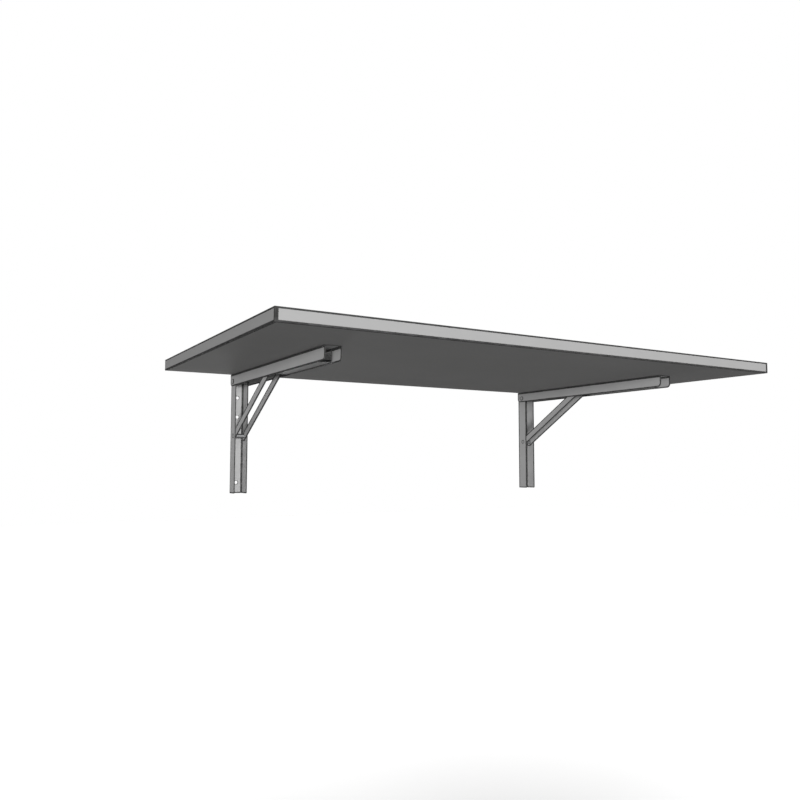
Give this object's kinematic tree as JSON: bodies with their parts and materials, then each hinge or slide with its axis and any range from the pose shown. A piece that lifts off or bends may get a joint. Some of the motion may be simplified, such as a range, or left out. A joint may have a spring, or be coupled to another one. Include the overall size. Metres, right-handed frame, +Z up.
{
  "type": "wall mounted drop leaf table",
  "caption": "Wall table whose rectangular leaf folds down flat against the wall on locking steel brackets with sliding struts.",
  "frame": {"origin": "on the wall plane, at the centre of the four outer wall screw holes", "axes": "+X along the wall, +Y into the wall, +Z up; the leaf stands out towards -Y"},
  "size_m": [0.8, 0.451, 0.2005],
  "materials": {
    "board": "light grey faced chipboard, fine satin pore",
    "edge_band": "light grey edge band, satin",
    "coated_steel": "grey powder coat, fine orange peel",
    "zinc_steel": "zinc plated steel",
    "spring_steel": "oiled spring wire",
    "latch_plastic": "black moulded plastic, matt"
  },
  "bodies": {
    "root": {"wall_channel_left": "coated_steel", "arm_pivot_rivet_left": "coated_steel", "strut_pivot_rivet_left": "coated_steel", "wall_channel_right": "coated_steel", "arm_pivot_rivet_right": "coated_steel", "strut_pivot_rivet_right": "coated_steel"},
    "leaf": {"tabletop_core": "board", "edge_band_front": "edge_band", "edge_band_rear": "edge_band", "edge_band_left": "edge_band", "edge_band_right": "edge_band", "arm_left": "coated_steel", "arm_screws_left": "zinc_steel", "arm_right": "coated_steel", "arm_screws_right": "zinc_steel"},
    "strut_left": {"strut_bar_left_outer": "coated_steel", "strut_bar_left_inner": "coated_steel", "strut_spacer_left": "zinc_steel", "strut_top_pin_left": "zinc_steel"},
    "slide_left": {"slide_channel_left": "coated_steel", "latch_pin_left": "zinc_steel", "latch_spring_left": "spring_steel"},
    "latch_left": {"release_latch_left": "latch_plastic"},
    "strut_right": {"strut_bar_right_outer": "coated_steel", "strut_bar_right_inner": "coated_steel", "strut_spacer_right": "zinc_steel", "strut_top_pin_right": "zinc_steel"},
    "slide_right": {"slide_channel_right": "coated_steel", "latch_pin_right": "zinc_steel", "latch_spring_right": "spring_steel"},
    "latch_right": {"release_latch_right": "latch_plastic"}
  },
  "joints": [
    {"name": "leaf_fold", "type": "hinge", "parent": "root", "child": "leaf", "pos_m": [0, -0.013, 0.0905], "axis": [1, 0, 0], "range_deg": [0, 90]},
    {"name": "strut_left_swing", "type": "hinge", "parent": "root", "child": "strut_left", "pos_m": [-0.288, -0.013, 0.006], "axis": [1, 0, 0], "range_deg": [0, 120.15]},
    {"name": "slide_left_run", "type": "slide", "parent": "leaf", "child": "slide_left", "axis": [0, -1, 0], "range_m": [0, 0.10727]},
    {"name": "latch_left_press", "type": "hinge", "parent": "slide_left", "child": "latch_left", "pos_m": [-0.288, -0.301, 0.093], "axis": [-1, 0, 0], "range_deg": [0, 6], "stiffness_Nm_per_rad": 0.3, "springref_deg": -5.73, "deforming": ["latch_spring_left"]},
    {"name": "strut_right_swing", "type": "hinge", "parent": "root", "child": "strut_right", "pos_m": [0.288, -0.013, 0.006], "axis": [1, 0, 0], "range_deg": [0, 120.15]},
    {"name": "slide_right_run", "type": "slide", "parent": "leaf", "child": "slide_right", "axis": [0, -1, 0], "range_m": [0, 0.10727]},
    {"name": "latch_right_press", "type": "hinge", "parent": "slide_right", "child": "latch_right", "pos_m": [0.288, -0.301, 0.093], "axis": [-1, 0, 0], "range_deg": [0, 6], "stiffness_Nm_per_rad": 0.3, "springref_deg": -5.73, "deforming": ["latch_spring_right"]}
  ],
  "couplings": [
    {"joint": "strut_left_swing", "follows": "leaf_fold", "ratio": 1.335},
    {"joint": "slide_left_run", "follows": "leaf_fold", "m_per_rad": 0.068282},
    {"joint": "strut_right_swing", "follows": "leaf_fold", "ratio": 1.335},
    {"joint": "slide_right_run", "follows": "leaf_fold", "m_per_rad": 0.068282}
  ]
}
